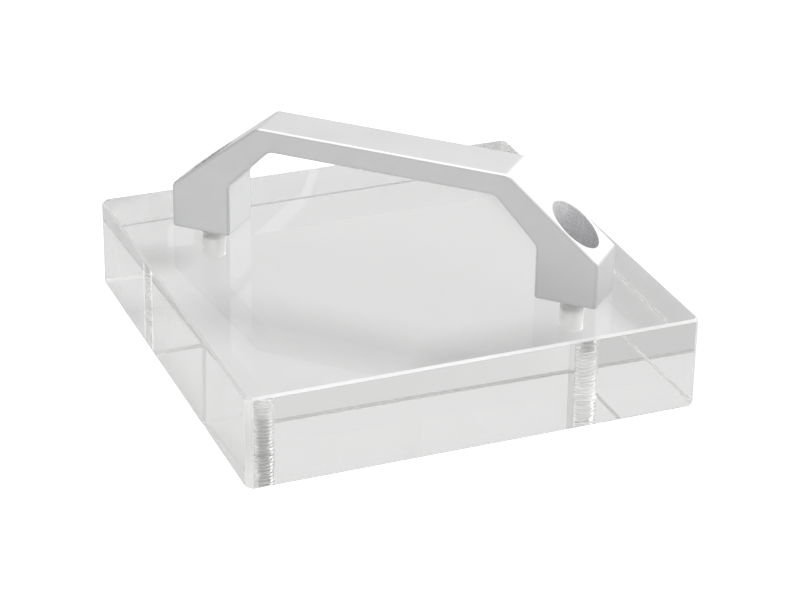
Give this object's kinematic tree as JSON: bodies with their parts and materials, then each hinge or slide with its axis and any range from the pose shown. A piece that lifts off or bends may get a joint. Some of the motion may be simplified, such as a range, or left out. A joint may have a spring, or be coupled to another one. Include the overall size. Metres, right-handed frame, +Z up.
{
  "type": "capsule filler press block",
  "caption": "Square clear block with a metal bow handle across its diagonal, held by screws from above; its flat underside presses capsules level in a filling board.",
  "frame": {"origin": "centre of the flat pressing face, which is the block's underside", "axes": "+Z up, away from the pressing face towards the handle; X and Y along the block's square edges; the handle runs along the diagonal from the (-X, +Y) corner, called left, to the (+X, -Y) corner, called right"},
  "size_m": [0.1184, 0.1184, 0.0566],
  "materials": {
    "clear_acrylic": "polished, clear",
    "handle_aluminium": "fine bead-blasted, clear anodised, satin",
    "screw_steel": "plain stainless, turned and rolled",
    "washer_steel": "plain stainless, pressed"
  },
  "bodies": {
    "root": {"press_block": "clear_acrylic", "bow_handle": "handle_aluminium", "left_cap_screw": "screw_steel", "right_cap_screw": "screw_steel", "left_spring_washer": "washer_steel", "right_spring_washer": "washer_steel"}
  },
  "joints": []
}
